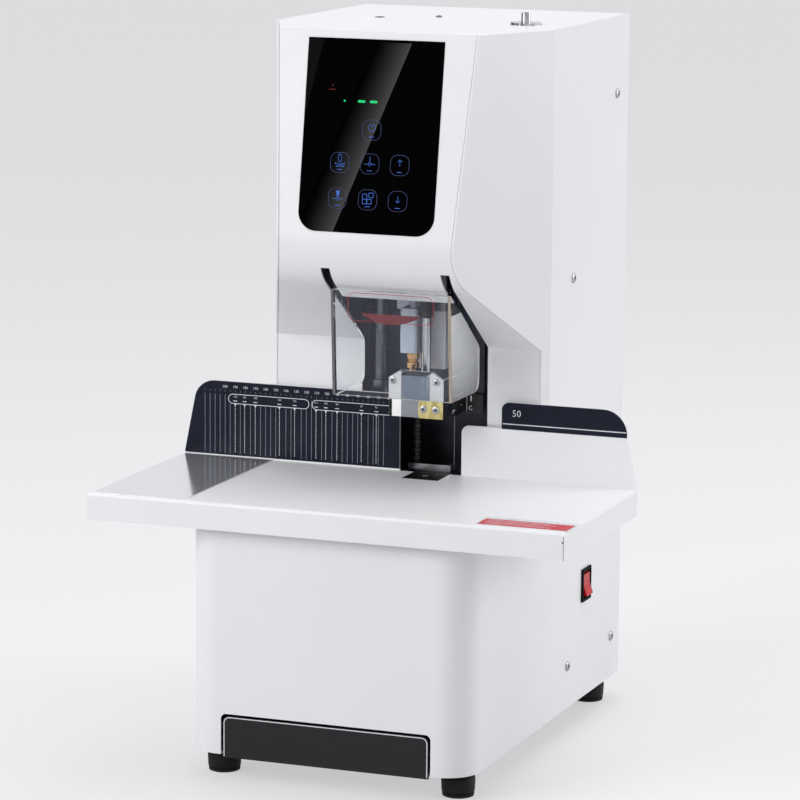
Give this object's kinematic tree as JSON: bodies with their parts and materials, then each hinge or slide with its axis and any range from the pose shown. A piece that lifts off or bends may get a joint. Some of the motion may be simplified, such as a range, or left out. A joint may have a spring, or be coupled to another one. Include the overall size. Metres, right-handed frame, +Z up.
{
  "type": "document riveting machine",
  "caption": "Free-standing paper binding machine: hollow drill and heated tube riveter over a worktable with side fences, a touch panel, a tilting guard and a chip tray.",
  "frame": {"origin": "on the floor, under the middle of the outer box", "axes": "+X to the operator's right, +Y away from the operator, +Z up"},
  "size_m": [0.439, 0.4328, 0.6601],
  "materials": {
    "powder_white": "satin powder coat",
    "bare_steel": "machined",
    "polished_steel": "polished",
    "zinc_plate": "zinc plated",
    "black_rubber": "matte",
    "black_glass": "glossy",
    "circuit_board": "satin",
    "black_plastic": "fine grain",
    "red_plastic": "glossy",
    "navy_print": "printed film",
    "dark_paint": "satin black",
    "cast_grey": "painted casting",
    "carriage_steel": "machined",
    "bronze": "turned",
    "light_block": "matte",
    "white_nylon": "matte",
    "clear_plastic": "clear",
    "galvanised": "galvanised"
  },
  "bodies": {
    "machine": {"main_shell": "powder_white", "head_cover": "powder_white", "top_cover": "powder_white", "rear_cover": "powder_white", "worktable": "powder_white", "left_fence": "powder_white", "right_fence": "powder_white", "base_plate": "bare_steel", "screw_bearings": "bare_steel", "paper_pin": "bare_steel", "wear_plate": "polished_steel", "guide_shafts": "polished_steel", "anvil": "polished_steel", "foot_bolts": "zinc_plate", "side_screws": "zinc_plate", "top_fittings": "zinc_plate", "tube_inlet": "zinc_plate", "guard_hinges": "zinc_plate", "throat_bar": "zinc_plate", "rubber_feet": "black_rubber", "press_belt": "black_rubber", "panel_glass": "black_glass", "panel_board": "circuit_board", "power_inlet": "black_plastic", "switch_bezel": "black_plastic", "ruler_plate": "navy_print", "limit_plate": "navy_print", "throat_liner": "dark_paint", "stop_rod": "dark_paint", "press_motor": "dark_paint", "feed_unit": "dark_paint", "cast_frame": "cast_grey", "lower_die": "bronze", "cutting_pad": "white_nylon", "chip_chute": "galvanised", "power_supply": "galvanised"},
    "carriage": {"press_carriage": "carriage_steel", "carriage_bushes": "bronze", "carriage_nut": "bronze", "foot_guide": "dark_paint"},
    "screw": {"lead_screw": "polished_steel"},
    "motor_wheel": {"motor_pulley": "bare_steel"},
    "station": {"station_plate": "bare_steel", "tool_block": "light_block", "spindle_housing": "bare_steel", "drill_motor": "dark_paint"},
    "drill": {"drill_chuck": "bare_steel", "drill_bit": "bare_steel"},
    "riveter": {"rivet_slide": "light_block", "rivet_head": "bronze"},
    "foot": {"foot_shield": "clear_plastic", "foot_pad": "white_nylon", "foot_bracket": "zinc_plate", "foot_screws": "zinc_plate", "foot_arm": "dark_paint"},
    "guard": {"guard_shield": "clear_plastic"},
    "tray": {"chip_tray": "black_plastic"},
    "rocker": {"switch_rocker": "red_plastic"},
    "drive_wheel": {"drive_roller": "black_rubber"},
    "pinch_wheel": {"pinch_roller": "black_rubber"}
  },
  "joints": [
    {"name": "press_slide", "type": "slide", "parent": "machine", "child": "carriage", "axis": [0, 0, -1], "range_m": [0, 0.0562]},
    {"name": "screw_turn", "type": "hinge", "parent": "machine", "child": "screw", "pos_m": [0.025, 0.0146, 0.5], "axis": [0, 0, 1], "range_deg": [0, 1015]},
    {"name": "motor_turn", "type": "hinge", "parent": "machine", "child": "motor_wheel", "pos_m": [0.025, 0.12, 0.6], "axis": [0, 0, 1], "range_deg": [0, 2535]},
    {"name": "station_shift", "type": "slide", "parent": "carriage", "child": "station", "axis": [1, 0, 0], "range_m": [0, 0.012]},
    {"name": "drill_spin", "type": "hinge", "parent": "station", "child": "drill", "pos_m": [0.025, -0.0287, 0.4], "axis": [0, 0, 1], "continuous": true},
    {"name": "rivet_slide_down", "type": "slide", "parent": "station", "child": "riveter", "axis": [0, 0, -1], "range_m": [0, 0.034]},
    {"name": "foot_lift", "type": "slide", "parent": "carriage", "child": "foot", "axis": [0, 0, 1], "range_m": [0, 0.0495]},
    {"name": "guard_tilt", "type": "hinge", "parent": "machine", "child": "guard", "pos_m": [0.0175, -0.07293, 0.46517], "axis": [-1, 0, 0], "range_deg": [0, 26]},
    {"name": "tray_pull", "type": "slide", "parent": "machine", "child": "tray", "axis": [0, -1, 0], "range_m": [0, 0.15]},
    {"name": "switch_rock", "type": "hinge", "parent": "machine", "child": "rocker", "pos_m": [0.1297, 0.1116, 0.131], "axis": [0, 1, 0], "range_deg": [0, 20]},
    {"name": "drive_roller_spin", "type": "hinge", "parent": "machine", "child": "drive_wheel", "pos_m": [0.07745, 0.0482, 0.523], "axis": [0, 1, 0], "continuous": true},
    {"name": "pinch_roller_spin", "type": "hinge", "parent": "machine", "child": "pinch_wheel", "pos_m": [0.09895, 0.0482, 0.523], "axis": [0, 1, 0], "continuous": true}
  ],
  "couplings": [
    {"joint": "screw_turn", "follows": "press_slide", "rad_per_m": 314.16},
    {"joint": "motor_turn", "follows": "press_slide", "rad_per_m": 785.4},
    {"joint": "pinch_roller_spin", "follows": "drive_roller_spin", "ratio": -1}
  ]
}
